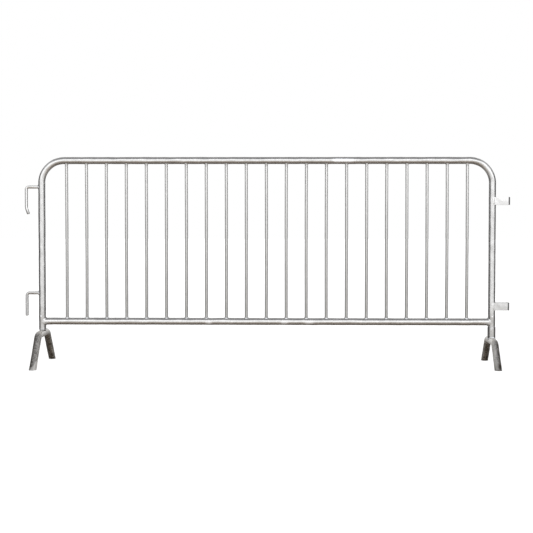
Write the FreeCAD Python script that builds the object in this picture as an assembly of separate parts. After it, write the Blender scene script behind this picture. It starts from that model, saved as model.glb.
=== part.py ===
import FreeCAD, Part
import math
import os

# Galvanised crowd control barrier: a tubular frame with vertical infill bars, hooks on its left post,
# strap loops on its right post, and a swivelling slip-in foot under each post.
# Sizes are in millimetres. X runs along the barrier, with the hooks at its -X end and the loops at its +X
# end. Y runs across it and +Z is up. The origin is on the ground, at the middle of the whole barrier's box.

# ---- frame ----
frame_width = 2440.0            # over the outsides of the posts
frame_height = 1110.0           # ground to the top of the top rail
tube_diameter = 38.0            # outside diameter of posts and top rail
tube_wall = 2.0
corner_radius = 120.0           # centreline radius of the two top bends
bottom_rail_diameter = 38.0
bottom_rail_wall = 2.0
bottom_rail_height = 232.0      # ground to the bottom rail's centreline

# ---- infill ----
bar_count = 21
bar_diameter = 16.0
bar_wall = 1.2
end_spacing = 133.0             # post centreline to the nearest bar's centreline

# ---- hooks, on the left post ----
hook_diameter = 16.0            # solid round rod
hook_reach = 72.0               # post's outer side to the hook's outermost side
hook_bend_radius = 12.0         # centreline radius of the elbow
upper_hook_below_top = 160.0    # top of the barrier down to the arm's centreline
upper_hook_drop = 145.0         # arm's centreline down to the tip
lower_hook_height = 383.0       # ground to the arm's centreline
lower_hook_drop = 122.0
tip_length = 33.0               # inturned end of the upper hook, measured down the hook
tip_offset = 11.0               # how far that end leans towards the post
tip_bend_radius = 30.0
tip_round = 3.0                 # edge rounding at the end of each rod

# ---- loops, on the right post ----
loop_reach = 75.0               # post's outer side to the loop's outermost side
loop_width = 36.0               # over the outsides of the strap, front to back
strap_height = 42.0
strap_thickness = 5.0
upper_loop_below_top = 234.0    # top of the barrier down to the strap's middle
lower_loop_height = 315.0       # ground to the strap's middle

# ---- feet ----
foot_tube_diameter = 38.0
foot_tube_wall = 2.0
crown_half_length = 118.0       # post centreline to where the crown's and the leg's centrelines cross
foot_bend_radius = 60.0         # centreline radius of the foot's two bends
leg_angle = 43.4                # degrees between a leg and the vertical
left_crown_height = 186.0       # ground to the top of the foot's crown
right_crown_height = 150.0
collar_step = 2.2               # how far the collar's rim stands out round the post
collar_wall = 3.2               # thick enough for the post's end to bear on the rim
collar_length = 54.0            # top of the right foot's crown to the collar's rim
collar_saddle = 10.0            # how far the collar's coped end reaches down round the crown
spigot_wall = 3.0
spigot_length = 120.0           # how far each spigot stands up inside its post

# ---- clearances ----
spigot_clearance = 0.5          # all round, spigot in post
seat_gap = 0.5                  # post's end above the piece of the foot that it bears on

# ---- derived places ----
middle_x = (hook_reach - loop_reach) / 2
post_spacing = frame_width - tube_diameter
left_post_x = middle_x - post_spacing / 2
right_post_x = middle_x + post_spacing / 2
top_rail_z = frame_height - tube_diameter / 2
collar_rim_z = right_crown_height + collar_length
left_post_end_z = left_crown_height + seat_gap
right_post_end_z = collar_rim_z + seat_gap
bar_pitch = (post_spacing - 2 * end_spacing) / (bar_count - 1)
spigot_diameter = tube_diameter - 2 * (tube_wall + spigot_clearance)
collar_diameter = tube_diameter + 2 * collar_step
prong_x = left_post_x - tube_diameter / 2 - hook_reach + hook_diameter / 2


def point(x, y, z):
    return FreeCAD.Vector(x, y, z)


def rod(start, end, diameter):
    """A solid round bar from start to end."""
    run = end - start
    return Part.makeCylinder(diameter / 2, run.Length, start, run)


def tube(start, end, diameter, wall):
    """A straight round tube from start to end."""
    return rod(start, end, diameter).cut(rod(start, end, diameter - 2 * wall))


def bent_path(corners, radius):
    """Straight runs between the corners, joined by a tangent arc at each inner corner."""
    edges = []
    run_start = corners[0]
    for before, corner, after in zip(corners, corners[1:], corners[2:]):
        incoming = (corner - before).normalize()
        outgoing = (after - corner).normalize()
        turn = incoming.getAngle(outgoing)
        tangent = radius * math.tan(turn / 2)
        arc_start = corner - incoming * tangent
        arc_end = corner + outgoing * tangent
        inward = (outgoing - incoming).normalize()
        arc_middle = corner + inward * (radius / math.cos(turn / 2) - radius)
        edges.append(Part.LineSegment(run_start, arc_start).toShape())
        edges.append(Part.Arc(arc_start, arc_middle, arc_end).toShape())
        run_start = arc_end
    edges.append(Part.LineSegment(run_start, corners[-1]).toShape())
    return Part.Wire(edges)


def bent_rod(corners, radius, diameter):
    """A solid round bar bent along its corners."""
    path = bent_path(corners, radius)
    section = Part.Circle(corners[0], corners[1] - corners[0], diameter / 2).toShape()
    return path.makePipeShell([Part.Wire(section)], True, False)


def bent_tube(corners, radius, diameter, wall):
    """A round tube bent along its corners."""
    return bent_rod(corners, radius, diameter).cut(bent_rod(corners, radius, diameter - 2 * wall))


def save(name, shape):
    """Writes one piece, after checking that it is a single sound solid."""
    solids = shape.Solids
    if len(solids) != 1 or not solids[0].isValid():
        raise ValueError(name + " is not one sound solid")
    solids[0].exportStep("parts/" + name + ".step")
    print(name, round(solids[0].Volume / 1000, 1), "cm3")


def frame_corners():
    """Centreline of the bent frame tube: up the left post, along the top, down the right post."""
    return [
        point(left_post_x, 0, left_post_end_z),
        point(left_post_x, 0, top_rail_z),
        point(right_post_x, 0, top_rail_z),
        point(right_post_x, 0, right_post_end_z),
    ]


def make_infill(frame_outside, rail_outside):
    """Vertical bars, each coped to sit on both rails."""
    for number in range(bar_count):
        x = left_post_x + end_spacing + number * bar_pitch
        bar = tube(point(x, 0, bottom_rail_height), point(x, 0, top_rail_z), bar_diameter, bar_wall)
        save("infill_bar_%02d" % (number + 1), bar.cut(frame_outside).cut(rail_outside))


def round_rod_end(shape, end):
    """Rounds the edge of the rod's free end, which lies at the given point."""
    edges = [edge for edge in shape.Edges if (edge.CenterOfMass - end).Length < hook_diameter / 4]
    return shape.makeFillet(tip_round, edges)


def straight_prong(arm_root, elbow, drop):
    """A rod out along its arm, round the elbow and straight down. Returns it and its free end."""
    end = elbow - point(0, 0, drop)
    return bent_rod([arm_root, elbow, end], hook_bend_radius, hook_diameter), end


def inturned_prong(arm_root, elbow, drop):
    """The same, but the prong's last stretch leans towards the post."""
    knee = elbow - point(0, 0, drop - tip_length)
    end = elbow + point(tip_offset, 0, -drop)
    halfway = elbow - point(0, 0, drop / 2)
    upper_part = bent_rod([arm_root, elbow, halfway], hook_bend_radius, hook_diameter)
    lower_part = bent_rod([halfway, knee, end], tip_bend_radius, hook_diameter)
    return upper_part.fuse(lower_part).removeSplitter(), end


def make_hook(name, height, drop, make_prong, frame_outside):
    """A rod hook: an arm out from the left post, an elbow, and a prong that points down."""
    hook, end = make_prong(point(left_post_x, 0, height), point(prong_x, 0, height), drop)
    save(name, round_rod_end(hook, end).cut(frame_outside))


def loop_outline(inset):
    """Half-round-ended outline of a loop in plan, inset from its outside by the given amount."""
    radius = loop_width / 2 - inset
    nose_x = right_post_x + tube_diameter / 2 + loop_reach - inset
    round_x = nose_x - radius
    back = point(right_post_x, -radius, 0)
    front = point(right_post_x, radius, 0)
    edges = [
        Part.LineSegment(back, point(round_x, -radius, 0)).toShape(),
        Part.Arc(point(round_x, -radius, 0), point(nose_x, 0, 0), point(round_x, radius, 0)).toShape(),
        Part.LineSegment(point(round_x, radius, 0), front).toShape(),
        Part.LineSegment(front, back).toShape(),
    ]
    return Part.Face(Part.Wire(edges))


def make_loop(name, height, frame_outside):
    """A flat strap bent round in a U, its two ends coped to the right post's sides."""
    lift = point(0, 0, strap_height)
    strap = loop_outline(0).extrude(lift).cut(loop_outline(strap_thickness).extrude(lift))
    strap.translate(point(0, 0, height - strap_height / 2))
    save(name, strap.cut(frame_outside))


def foot_corners(x, crown_height):
    """Centreline of a foot: up one leg, over the crown, down the other, run on below the ground."""
    crown_z = crown_height - foot_tube_diameter / 2
    run_on = foot_tube_diameter
    reach = crown_half_length + (crown_z + run_on) * math.tan(math.radians(leg_angle))
    return [
        point(x, -reach, -run_on),
        point(x, -crown_half_length, crown_z),
        point(x, crown_half_length, crown_z),
        point(x, reach, -run_on),
    ]


def below_ground(x):
    """A block under the ground, wide and long enough to trim both legs of a foot."""
    size = 4 * frame_height
    return Part.makeBox(size, size, size, point(x - size / 2, -size / 2, -size))


def make_foot(side, x, crown_height, post_end_z):
    """An arched foot and its spigot. Returns the arch's outside, for pieces that sit on it."""
    corners = foot_corners(x, crown_height)
    arch_outside = bent_rod(corners, foot_bend_radius, foot_tube_diameter)
    arch = bent_tube(corners, foot_bend_radius, foot_tube_diameter, foot_tube_wall)
    save(side + "_foot", arch.cut(below_ground(x)))
    foot_axis_start = point(x, 0, crown_height - foot_tube_diameter / 2)
    spigot_top = point(x, 0, post_end_z + spigot_length)
    spigot = tube(foot_axis_start, spigot_top, spigot_diameter, spigot_wall)
    save(side + "_foot_spigot", spigot.cut(arch_outside))
    return arch_outside


def make_collar(arch_outside):
    """The wider tube that stands on the right foot's crown and meets the right post's end."""
    start = point(right_post_x, 0, right_crown_height - collar_saddle)
    collar = tube(start, point(right_post_x, 0, collar_rim_z), collar_diameter, collar_wall)
    save("right_foot_collar", collar.cut(arch_outside))


def main():
    os.makedirs("parts", exist_ok=True)
    frame_outside = bent_rod(frame_corners(), corner_radius, tube_diameter)
    save("frame_tube", bent_tube(frame_corners(), corner_radius, tube_diameter, tube_wall))

    rail_ends = (point(left_post_x, 0, bottom_rail_height), point(right_post_x, 0, bottom_rail_height))
    rail_outside = rod(*rail_ends, bottom_rail_diameter)
    rail = tube(*rail_ends, bottom_rail_diameter, bottom_rail_wall)
    save("bottom_rail", rail.cut(frame_outside))

    make_infill(frame_outside, rail_outside)
    upper_hook_height = frame_height - upper_hook_below_top
    make_hook("upper_hook", upper_hook_height, upper_hook_drop, inturned_prong, frame_outside)
    make_hook("lower_hook", lower_hook_height, lower_hook_drop, straight_prong, frame_outside)
    make_loop("upper_loop", frame_height - upper_loop_below_top, frame_outside)
    make_loop("lower_loop", lower_loop_height, frame_outside)

    make_foot("left", left_post_x, left_crown_height, left_post_end_z)
    make_collar(make_foot("right", right_post_x, right_crown_height, right_post_end_z))


main()
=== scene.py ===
"""The finished look of a hot-dip galvanised crowd control barrier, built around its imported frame.

Every steel piece is a surface worked out with numpy on a grid: a ring carried along a centreline, a
strap's section carried round its loop, or a weld's section carried along the seam that it fills. Metres,
in the frame's own axes: X along the barrier, Y across it, +Z up, the ground at z = 0.
"""
import logging
import math
from dataclasses import dataclass, field
from enum import Enum
from typing import Sequence

import bpy
import numpy as np
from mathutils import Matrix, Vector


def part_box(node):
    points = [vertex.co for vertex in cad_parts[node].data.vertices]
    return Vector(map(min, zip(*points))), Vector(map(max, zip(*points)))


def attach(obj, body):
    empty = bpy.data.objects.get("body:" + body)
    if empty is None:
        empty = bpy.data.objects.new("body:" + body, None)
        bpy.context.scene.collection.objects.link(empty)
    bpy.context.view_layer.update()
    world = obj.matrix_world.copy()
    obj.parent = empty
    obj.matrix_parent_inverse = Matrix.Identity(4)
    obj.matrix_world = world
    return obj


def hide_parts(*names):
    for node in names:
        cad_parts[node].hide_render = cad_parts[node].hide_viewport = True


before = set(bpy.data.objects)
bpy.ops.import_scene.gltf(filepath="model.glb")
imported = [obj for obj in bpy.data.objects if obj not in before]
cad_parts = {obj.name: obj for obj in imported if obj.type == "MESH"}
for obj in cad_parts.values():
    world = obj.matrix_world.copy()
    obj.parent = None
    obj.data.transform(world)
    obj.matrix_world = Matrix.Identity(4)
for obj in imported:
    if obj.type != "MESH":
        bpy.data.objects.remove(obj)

Array = np.ndarray
Pair = tuple[float, float]
Triple = tuple[float, float, float]
Socket = bpy.types.NodeSocket
log = logging.getLogger("barrier")

MM = 0.001
X_AXIS = np.array([1.0, 0.0, 0.0])
Y_AXIS = np.array([0.0, 1.0, 0.0])
Z_AXIS = np.array([0.0, 0.0, 1.0])


# ---------------------------------------------------------------- finishes

# The coat's patterns, in features per metre, and how far the run marks are scaled along each axis.
GRAIN_SCALE = 420.0
FLECK_SCALE = 160.0
RUN_SCALE = 90.0
SWELL_SCALE = 38.0
RUN_STRETCH = (1.0, 1.0, 0.12)

# What the coat's tone and its height are made of, as shares of each pattern.
TONE_SHARES = {"crystals": 0.24, "clouds": 0.54, "runs": 0.16, "grain": 0.06}
HEIGHT_SHARES = {"grain": 0.06, "swell": 1.0, "crystals": 0.05, "runs": 0.15}
TONE_REACH = 0.32

# How a soft mask gets its ragged edge.
RAGGEDNESS = 0.42
FAINT_MASK = (0.0, 0.3)
MASK_EDGE = (0.32, 0.72)


class Zinc(Enum):
    """The record's material slots, one for each kind of galvanised steel on the barrier."""

    FRAME = "frame_zinc"
    INFILL = "infill_zinc"
    FITTING = "fitting_zinc"
    FOOT = "foot_zinc"


@dataclass(frozen=True)
class GalvanisedFinish:
    """A hot-dip zinc coat: dull grey crystals, cloudy stains, run marks, bright spots, rubbed-in dirt,
    painted highlights and painted shade.

    Attributes:
        slot: the record's material slot that this finish belongs to.
        dull: colour of the weathered coat.
        pale: colour of the palest crystals and clouds.
        bright: colour of fresh, thick zinc, and of the painted highlights.
        dirt_and_shade: colour of the dirt, of the darkening low down and beside joints, and of the
            painted shade.
        spangle: width of one zinc crystal, in metres.
        cloud: width of one stain, in metres.
        roughness: roughness of the weathered coat.
        contrast: how strongly the crystals and stains stand out; past 1 the palest and dullest merge.
        relief: height of the coat's bumps, in metres.
    """

    slot: Zinc
    dull: Triple
    pale: Triple
    bright: Triple
    dirt_and_shade: Triple
    spangle: float
    cloud: float
    roughness: float
    contrast: float
    relief: float

    def material(self) -> bpy.types.Material:
        """Makes the node material once and returns it every later time.

        Returns:
            The Blender material for this finish.
        """
        name = "galvanised_" + self.slot.value
        found = bpy.data.materials.get(name)
        if found is not None:
            return found
        material = bpy.data.materials.new(name)
        material.use_nodes = True
        self._wire(material.node_tree)
        return material

    def _wire(self, tree: bpy.types.NodeTree) -> None:
        """Fills the node tree: the patterns added up into a grey, then bright zinc and painted
        highlights, then dirt and painted shade.

        Args:
            tree: the new material's node tree.
        """
        tree.nodes.clear()
        kit = NodeKit(tree)
        place = kit.add("ShaderNodeTexCoord").outputs["Object"]
        crystals = kit.crystals(place, 1 / self.spangle)
        clouds = kit.noise(place, 1 / self.cloud, detail=6.0, roughness=0.62)
        runs = kit.noise(kit.stretched(place, RUN_STRETCH), RUN_SCALE, detail=3.0, roughness=0.5)
        grain = kit.noise(place, GRAIN_SCALE, detail=4.0, roughness=0.7)
        patterns = {"crystals": crystals, "clouds": clouds, "runs": runs, "grain": grain}

        tone = kit.sum_of(patterns, TONE_SHARES)
        spread = 0.5 * self.contrast
        tone = kit.ranged(tone, (0.5 - TONE_REACH, 0.5 + TONE_REACH), (0.5 - spread, 0.5 + spread))
        colour = kit.blend(tone, self.dull, self.pale)

        # Bright, thick zinc and painted highlights, from the mesh's attribute, with ragged edges.
        fresh_and_highlight = kit.attribute("fresh_zinc_and_highlight")
        fresh_and_highlight = kit.broken(fresh_and_highlight, kit.noise(place, FLECK_SCALE, detail=5.0, roughness=0.65), RAGGEDNESS)
        colour = kit.blend(fresh_and_highlight, colour, self.bright)

        # Dirt, darkening and painted shade, from the mesh's attribute, made patchy by the stains.
        dirt_and_shade_share = kit.attribute("dirt_and_shade")
        patchy = kit.ranged(clouds, (0.3, 0.7), (1 - 0.45 * self.contrast, 1 + 0.35 * self.contrast))
        dirt_and_shade_share = kit.scalar("MULTIPLY", dirt_and_shade_share, patchy)
        colour = kit.blend(dirt_and_shade_share, colour, self.dirt_and_shade)

        rough = kit.ranged(tone, (0.0, 1.0), (self.roughness - 0.07, self.roughness + 0.09))
        rough = kit.scalar("MULTIPLY", rough, kit.ranged(fresh_and_highlight, (0.0, 1.0), (1.0, 1.7)))
        rough = kit.scalar("ADD", rough, kit.scalar("MULTIPLY", dirt_and_shade_share, 0.10))

        patterns["swell"] = kit.noise(place, SWELL_SCALE, detail=2.0, roughness=0.45)
        height = kit.sum_of(patterns, HEIGHT_SHARES)
        bump = kit.add("ShaderNodeBump")
        bump.inputs["Strength"].default_value = 0.55
        bump.inputs["Distance"].default_value = self.relief
        kit.link(height, bump.inputs["Height"])

        shader = kit.add("ShaderNodeBsdfPrincipled")
        shader.inputs["Metallic"].default_value = 0.92
        shader.inputs["Specular IOR Level"].default_value = 0.5
        kit.link(colour, shader.inputs["Base Color"])
        kit.link(rough, shader.inputs["Roughness"])
        kit.link(bump.outputs["Normal"], shader.inputs["Normal"])
        output = kit.add("ShaderNodeOutputMaterial")
        kit.link(shader.outputs["BSDF"], output.inputs["Surface"])


class NodeKit:
    """Short names for the shader nodes that the finishes and the sky are wired from."""

    def __init__(self, tree: bpy.types.NodeTree) -> None:
        """Keeps the tree that the nodes go into."""
        self.tree = tree

    def add(self, kind: str) -> bpy.types.Node:
        """Adds a node of a kind."""
        return self.tree.nodes.new(kind)

    def link(self, output: Socket, socket: Socket) -> None:
        """Joins an output to an input."""
        self.tree.links.new(output, socket)

    def feed(self, value: object, socket: Socket) -> None:
        """Links a socket, or sets it where the value is a number or a colour.

        Args:
            value: another node's output, a number or a colour.
            socket: the input that gets it.
        """
        if isinstance(value, Socket):
            self.link(value, socket)
        elif isinstance(value, tuple):
            socket.default_value = (*value, 1.0)
        else:
            socket.default_value = value

    def stretched(self, place: Socket, scale: Sequence[float]) -> Socket:
        """The coordinates scaled along each axis.

        Args:
            place: coordinates to scale.
            scale: the factor along each axis.

        Returns:
            The scaled coordinates.
        """
        mapping = self.add("ShaderNodeMapping")
        mapping.inputs["Scale"].default_value = scale
        self.link(place, mapping.inputs["Vector"])
        return mapping.outputs["Vector"]

    def noise(self, place: Socket, scale: float, detail: float, roughness: float) -> Socket:
        """Cloudy noise about 0.5.

        Args:
            place: coordinates to read.
            scale: features per metre.
            detail: number of finer layers.
            roughness: weight of the finer layers.

        Returns:
            The noise value, about 0 to 1.
        """
        node = self.add("ShaderNodeTexNoise")
        node.inputs["Scale"].default_value = scale
        node.inputs["Detail"].default_value = detail
        node.inputs["Roughness"].default_value = roughness
        self.link(place, node.inputs["Vector"])
        return node.outputs["Fac"]

    def crystals(self, place: Socket, scale: float) -> Socket:
        """One random grey for each cell of a Voronoi pattern, as zinc crystals have.

        Args:
            place: coordinates to read.
            scale: crystals per metre.

        Returns:
            A value from 0 to 1, the same all over one crystal.
        """
        node = self.add("ShaderNodeTexVoronoi")
        node.inputs["Scale"].default_value = scale
        self.link(place, node.inputs["Vector"])
        grey = self.add("ShaderNodeRGBToBW")
        self.link(node.outputs["Color"], grey.inputs["Color"])
        return grey.outputs["Val"]

    def attribute(self, name: str) -> Socket:
        """A point attribute of the mesh.

        Args:
            name: the attribute's name.

        Returns:
            Its value.
        """
        node = self.add("ShaderNodeAttribute")
        node.attribute_name = name
        return node.outputs["Fac"]

    def scalar(self, operation: str, first: object, second: object) -> Socket:
        """One Math node.

        Args:
            operation: the node's name for the sum that it does.
            first: its first value, a socket or a number.
            second: its second value.

        Returns:
            The result.
        """
        node = self.add("ShaderNodeMath")
        node.operation = operation
        self.feed(first, node.inputs[0])
        self.feed(second, node.inputs[1])
        return node.outputs["Value"]

    def sum_of(self, patterns: dict[str, Socket], shares: dict[str, float]) -> Socket:
        """The patterns that have a share, added up, each times its share.

        Args:
            patterns: the patterns by name.
            shares: each pattern's share, by name.

        Returns:
            The sum.
        """
        total: object = 0.0
        for name, share in shares.items():
            total = self.scalar("ADD", total, self.scalar("MULTIPLY", patterns[name], share))
        return total

    def ranged(self, value: Socket, before: Pair, after: Pair) -> Socket:
        """The value mapped from one range to another, held at its ends.

        Args:
            value: what is mapped.
            before: the range that it comes from.
            after: the range that it goes to.

        Returns:
            The mapped value.
        """
        node = self.add("ShaderNodeMapRange")
        self.feed(value, node.inputs["Value"])
        for key, number in zip(("From Min", "From Max", "To Min", "To Max"), before + after):
            node.inputs[key].default_value = number
        return node.outputs["Result"]

    def broken(self, mask: Socket, noise: Socket, raggedness: float) -> Socket:
        """A soft mask with its edge broken up by noise.

        Args:
            mask: value from 0 to 1, held by the mesh.
            noise: value from 0 to 1, about 0.5.
            raggedness: how far the noise moves the mask's edge.

        Returns:
            The mask plus centred noise where there is any mask, sharpened to 0 to 1.
        """
        swing = self.scalar("MULTIPLY", self.scalar("SUBTRACT", noise, 0.5), 2 * raggedness)
        swing = self.scalar("MULTIPLY", swing, self.ranged(mask, FAINT_MASK, (0.0, 1.0)))
        moved = self.scalar("ADD", mask, swing)
        return self.ranged(moved, MASK_EDGE, (0.0, 1.0))

    def blend(self, share: object, low: object, high: object) -> Socket:
        """A colour between two others.

        Args:
            share: how far it is from low to high, 0 to 1.
            low: the colour at 0, as a socket or three numbers.
            high: the colour at 1.

        Returns:
            The colour.
        """
        node = self.add("ShaderNodeMix")
        node.data_type = "RGBA"
        self.feed(share, node.inputs[0])
        self.feed(low, node.inputs[6])
        self.feed(high, node.inputs[7])
        return node.outputs[2]


FINISHES = {
    Zinc.FRAME: GalvanisedFinish(
        slot=Zinc.FRAME, dull=(0.42, 0.42, 0.418), pale=(0.80, 0.80, 0.80), bright=(0.93, 0.95, 0.98),
        dirt_and_shade=(0.20, 0.185, 0.165), spangle=0.010, cloud=0.034, roughness=0.25, contrast=0.75,
        relief=0.00013,
    ),
    Zinc.INFILL: GalvanisedFinish(
        slot=Zinc.INFILL, dull=(0.54, 0.54, 0.538), pale=(0.78, 0.78, 0.78), bright=(0.95, 0.95, 0.95),
        dirt_and_shade=(0.22, 0.215, 0.205), spangle=0.006, cloud=0.030, roughness=0.38, contrast=0.4,
        relief=0.00008,
    ),
    Zinc.FITTING: GalvanisedFinish(
        slot=Zinc.FITTING, dull=(0.60, 0.60, 0.60), pale=(0.80, 0.80, 0.80), bright=(0.97, 0.97, 0.97),
        dirt_and_shade=(0.10, 0.095, 0.09), spangle=0.008, cloud=0.030, roughness=0.22, contrast=0.7,
        relief=0.0003,
    ),
    Zinc.FOOT: GalvanisedFinish(
        slot=Zinc.FOOT, dull=(0.15, 0.142, 0.128), pale=(0.64, 0.62, 0.59), bright=(0.88, 0.86, 0.83),
        dirt_and_shade=(0.07, 0.06, 0.05), spangle=0.011, cloud=0.034, roughness=0.24, contrast=2.1,
        relief=0.0004,
    ),
}


# ---------------------------------------------------------------- surfaces

# The angle from which an edge is shaded as a sharp one, and a tube's shortest and longest ripple.
SHARP_EDGE = math.radians(50)
RIPPLE_SPAN = (0.05, 0.4)


@dataclass
class Surface:
    """A closed mesh in the making.

    Attributes:
        points: the mesh's points, one row each.
        faces: blocks of faces, each block an array of point numbers with one row for each face.
        fresh_and_highlight: how much bright, thick zinc and painted highlight each point carries, 0 to 1.
        dirt_and_shade: how much dirt, darkening and painted shade each point carries, 0 to 1.
    """

    points: Array
    faces: list[Array]
    fresh_and_highlight: Array = field(default_factory=lambda: np.zeros(0))
    dirt_and_shade: Array = field(default_factory=lambda: np.zeros(0))

    def __post_init__(self) -> None:
        """Gives a surface with no wear and no painted light the value 0 at every point."""
        if len(self.fresh_and_highlight) == 0:
            self.fresh_and_highlight = np.zeros(len(self.points))
        if len(self.dirt_and_shade) == 0:
            self.dirt_and_shade = np.zeros(len(self.points))

    def volume(self) -> float:
        """Signed volume: a sixth of the sum of each triangle's corners' triple product.

        Returns:
            The volume, negative where the faces point inwards.
        """
        total = 0.0
        for block in self.faces:
            for last in range(2, block.shape[1]):
                a, b, c = (self.points[block[:, k]] for k in (0, last - 1, last))
                total += float(np.einsum("ij,ij->", a, np.cross(b, c)))
        return total / 6

    def facing_out(self) -> "Surface":
        """Turns every face over if they point inwards, which shows as a negative volume.

        Returns:
            The surface itself.
        """
        if self.volume() < 0:
            self.faces = [block[:, ::-1] for block in self.faces]
        return self

    @staticmethod
    def together(surfaces: Sequence["Surface"]) -> "Surface":
        """One surface that holds several, with their faces renumbered.

        Args:
            surfaces: the surfaces to hold.

        Returns:
            The joint surface.
        """
        starts = np.cumsum([0] + [len(s.points) for s in surfaces])
        faces = [block + start for s, start in zip(surfaces, starts) for block in s.faces]
        return Surface(
            np.concatenate([s.points for s in surfaces]),
            faces,
            np.concatenate([s.fresh_and_highlight for s in surfaces]),
            np.concatenate([s.dirt_and_shade for s in surfaces]),
        )

    def mesh(self, name: str) -> bpy.types.Mesh:
        """The Blender mesh, smooth shaded, with its wear and painted light as point attributes.

        Args:
            name: the mesh's name.

        Returns:
            The new mesh.
        """
        mesh = bpy.data.meshes.new(name)
        faces = [face for block in self.faces for face in block.tolist()]
        mesh.from_pydata(self.points, [], faces)
        mesh.polygons.foreach_set("use_smooth", np.ones(len(mesh.polygons), bool))
        for label, values in (("fresh_zinc_and_highlight", self.fresh_and_highlight), ("dirt_and_shade", self.dirt_and_shade)):
            layer = mesh.attributes.new(label, "FLOAT", "POINT")
            layer.data.foreach_set("value", np.clip(values, 0, 1).astype(np.float32))
        mesh.set_sharp_from_angle(angle=SHARP_EDGE)
        mesh.update()
        return mesh


def ring_quads(rings: int, sides: int, first_joins_last: bool) -> Array:
    """Quads between neighbouring rings, each of which closes on itself.

    Args:
        rings: number of rings.
        sides: number of points in a ring.
        first_joins_last: whether the last ring is joined to the first.

    Returns:
        Point numbers, four to a row.
    """
    ring = np.arange(rings if first_joins_last else rings - 1)[:, None]
    side = np.arange(sides)[None, :]
    after = (ring + 1) % rings
    beside = (side + 1) % sides
    corners = (ring * sides + side, ring * sides + beside, after * sides + beside, after * sides + side)
    return np.stack([np.broadcast_to(c, (len(ring), sides)) for c in corners], -1).reshape(-1, 4)


def capped_rings(rings: Array) -> Surface:
    """A closed surface from a stack of rings, with a point at the middle of each end.

    Args:
        rings: array of shape (rings, sides, 3).

    Returns:
        The surface: quads between rings and a fan of triangles at each end.
    """
    count, sides = rings.shape[:2]
    points = np.concatenate([rings.reshape(-1, 3), rings[0].mean(0)[None], rings[-1].mean(0)[None]])
    side = np.arange(sides)
    beside = (side + 1) % sides
    first_pole = np.full(sides, count * sides)
    start_fan = np.stack([first_pole, beside, side], 1)
    end_fan = np.stack([first_pole + 1, side + (count - 1) * sides, beside + (count - 1) * sides], 1)
    return Surface(points, [ring_quads(count, sides, False), start_fan, end_fan]).facing_out()


def joined_rings(rings: Array) -> Surface:
    """A closed surface from rings whose last joins the first, as round a doughnut.

    Args:
        rings: array of shape (rings, sides, 3).

    Returns:
        The surface, all of quads.
    """
    return Surface(rings.reshape(-1, 3), [ring_quads(*rings.shape[:2], True)]).facing_out()


def slow_waves(seed: int, along: Array, around: Array, height: float, span: Pair) -> Array:
    """Gentle unevenness: a sum of cosines whose phase grows along the piece and turns round it.

    Args:
        seed: picks the waves.
        along: distances along the piece, shape (n, 1).
        around: angles round it, shape (1, m).
        height: size of the result, in metres.
        span: shortest and longest wavelength along the piece, in metres.

    Returns:
        Heights of shape (n, m).
    """
    rng = np.random.default_rng(seed)
    count, most_turns = 12, 3
    lengths = rng.uniform(*span, count)
    turns = rng.integers(0, most_turns + 1, count)
    starts = rng.uniform(0, 2 * np.pi, count)
    phase = 2 * np.pi * along[..., None] / lengths + around[..., None] * turns + starts
    return height * np.cos(phase).sum(-1) / math.sqrt(count / 2)


def near(points: Array, spots: Sequence, reach: float) -> Array:
    """How near each point is to its nearest spot: e to the minus the square of distance over reach.

    Args:
        points: array of shape (n, 3).
        spots: one place, or several, one to a row.
        reach: distance at which the value has fallen to about a third.

    Returns:
        Values from 0 to 1, one for each point.
    """
    gap = np.linalg.norm(points[:, None] - np.atleast_2d(spots)[None], axis=-1).min(1)
    return np.exp(-((gap / reach) ** 2))


class Cut(Enum):
    """How the end of a tube or rod is cut."""

    SQUARE = "square"
    COPED = "coped"
    LEVEL = "level"


@dataclass(frozen=True)
class End:
    """One end of a tube.

    Attributes:
        cut: how it is cut.
        host_radius: radius of the round tube that a coped end sits on, whose axis the centreline meets.
        host_axis: direction of that tube.
        least: a coped end reaches no nearer than this to the host's axis.
    """

    cut: Cut = Cut.SQUARE
    host_radius: float = 0.0
    host_axis: Triple = (0.0, 0.0, 1.0)
    least: float = 0.0

    def shift(self, offsets: Array, inward: Array) -> Array:
        """How far each point of the end ring moves along the piece, inwards.

        A coped end's point moves in by the height of a circle of the host's radius over the point's
        distance from the plane through both axes. A level end's point slides along until it is on z = 0.

        Args:
            offsets: the end ring's points less its centre, shape (m, 3).
            inward: unit direction from the end into the piece.

        Returns:
            Distances, one for each point.
        """
        if self.cut is Cut.COPED:
            across = np.cross(inward, np.array(self.host_axis))
            reach = offsets @ (across / np.linalg.norm(across))
            return np.maximum(np.sqrt(np.maximum(self.host_radius ** 2 - reach ** 2, 0.0)), self.least)
        if self.cut is Cut.LEVEL:
            return -offsets[:, 2] / inward[2]
        return np.zeros(len(offsets))


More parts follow.
